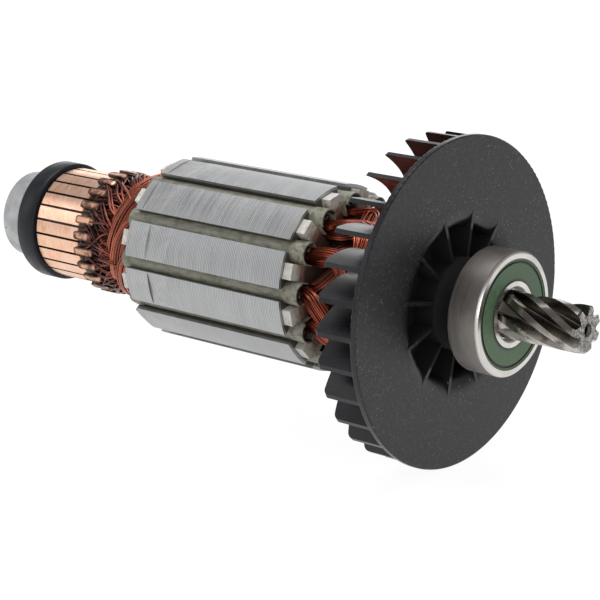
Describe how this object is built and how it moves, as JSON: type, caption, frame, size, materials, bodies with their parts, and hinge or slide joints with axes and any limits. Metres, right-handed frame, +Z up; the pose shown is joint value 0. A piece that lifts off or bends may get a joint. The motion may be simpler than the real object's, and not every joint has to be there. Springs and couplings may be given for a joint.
{
  "type": "motor armature",
  "caption": "Wound motor armature on a shaft, with a hooked commutator, a bladed cooling fan, a ball bearing near each end and a helical pinion cut on the shaft.",
  "frame": {"origin": "on the shaft's axis, at the rear face of the front bearing, where the shaft's shoulder meets it", "axes": "+X along the shaft towards the pinion, +Z up, +Y to the side; the part lies with its axis level"},
  "size_m": [0.1712, 0.0754, 0.0754],
  "materials": {
    "bearing_steel": "ground steel",
    "bush_steel": "turned steel",
    "cage_steel": "pressed steel",
    "copper_bar": "worn, turned copper",
    "end_fibre": "pale fibre",
    "fan_moulding": "filled black plastic, dusty",
    "front_seal_rubber": "matte rubber",
    "hub_moulding": "moulded resin",
    "liner_paper": "insulating paper",
    "rear_seal_rubber": "matte rubber",
    "shaft_steel": "turned and hobbed steel",
    "sleeve_moulding": "moulded resin",
    "stack_steel": "turned edges of steel sheets",
    "washer_moulding": "black moulded resin",
    "wedge_fibre": "olive fibre",
    "winding": "enamelled copper wire, varnished"
  },
  "bodies": {
    "front_bearing_outer": {"front_bearing_outer_ring": "bearing_steel", "front_bearing_rear_seal": "front_seal_rubber", "front_bearing_front_seal": "front_seal_rubber"},
    "rotor": {"coil_01": "winding", "coil_02": "winding", "coil_03": "winding", "coil_04": "winding", "coil_05": "winding", "coil_06": "winding", "coil_07": "winding", "coil_08": "winding", "coil_09": "winding", "coil_10": "winding", "coil_11": "winding", "coil_12": "winding", "coil_leads": "winding", "commutator_bar_01": "copper_bar", "commutator_bar_02": "copper_bar", "commutator_bar_03": "copper_bar", "commutator_bar_04": "copper_bar", "commutator_bar_05": "copper_bar", "commutator_bar_06": "copper_bar", "commutator_bar_07": "copper_bar", "commutator_bar_08": "copper_bar", "commutator_bar_09": "copper_bar", "commutator_bar_10": "copper_bar", "commutator_bar_11": "copper_bar", "commutator_bar_12": "copper_bar", "commutator_bar_13": "copper_bar", "commutator_bar_14": "copper_bar", "commutator_bar_15": "copper_bar", "commutator_bar_16": "copper_bar", "commutator_bar_17": "copper_bar", "commutator_bar_18": "copper_bar", "commutator_bar_19": "copper_bar", "commutator_bar_20": "copper_bar", "commutator_bar_21": "copper_bar", "commutator_bar_22": "copper_bar", "commutator_bar_23": "copper_bar", "commutator_bar_24": "copper_bar", "commutator_bush": "bush_steel", "commutator_hub": "hub_moulding", "cooling_fan": "fan_moulding", "front_bearing_inner_ring": "bearing_steel", "front_end_insulator": "end_fibre", "insulation_washer": "washer_moulding", "lamination_stack": "stack_steel", "rear_bearing_inner_ring": "bearing_steel", "rear_end_insulator": "end_fibre", "shaft_insulation_sleeve": "sleeve_moulding", "shaft_with_pinion": "shaft_steel", "slot_liners": "liner_paper", "slot_wedges": "wedge_fibre"},
    "front_cage": {"front_bearing_cage": "cage_steel", "front_bearing_balls": "bearing_steel"},
    "rear_bearing_outer": {"rear_bearing_outer_ring": "bearing_steel", "rear_bearing_rear_seal": "rear_seal_rubber", "rear_bearing_front_seal": "rear_seal_rubber"},
    "rear_cage": {"rear_bearing_cage": "cage_steel", "rear_bearing_balls": "bearing_steel"}
  },
  "joints": [
    {"name": "rotor_spin", "type": "hinge", "parent": "front_bearing_outer", "child": "rotor", "pos_m": [0, 0, 0], "axis": [1, 0, 0], "continuous": true},
    {"name": "front_cage_spin", "type": "hinge", "parent": "front_bearing_outer", "child": "front_cage", "pos_m": [0.004, 0, 0], "axis": [1, 0, 0], "continuous": true},
    {"name": "rear_outer_spin", "type": "hinge", "parent": "rotor", "child": "rear_bearing_outer", "pos_m": [-0.14025, 0, 0], "axis": [1, 0, 0], "continuous": true},
    {"name": "rear_cage_spin", "type": "hinge", "parent": "rotor", "child": "rear_cage", "pos_m": [-0.14025, 0, 0], "axis": [1, 0, 0], "continuous": true}
  ],
  "couplings": [
    {"joint": "front_cage_spin", "follows": "rotor_spin", "ratio": 0.381},
    {"joint": "rear_cage_spin", "follows": "rear_outer_spin", "ratio": 0.6323}
  ]
}
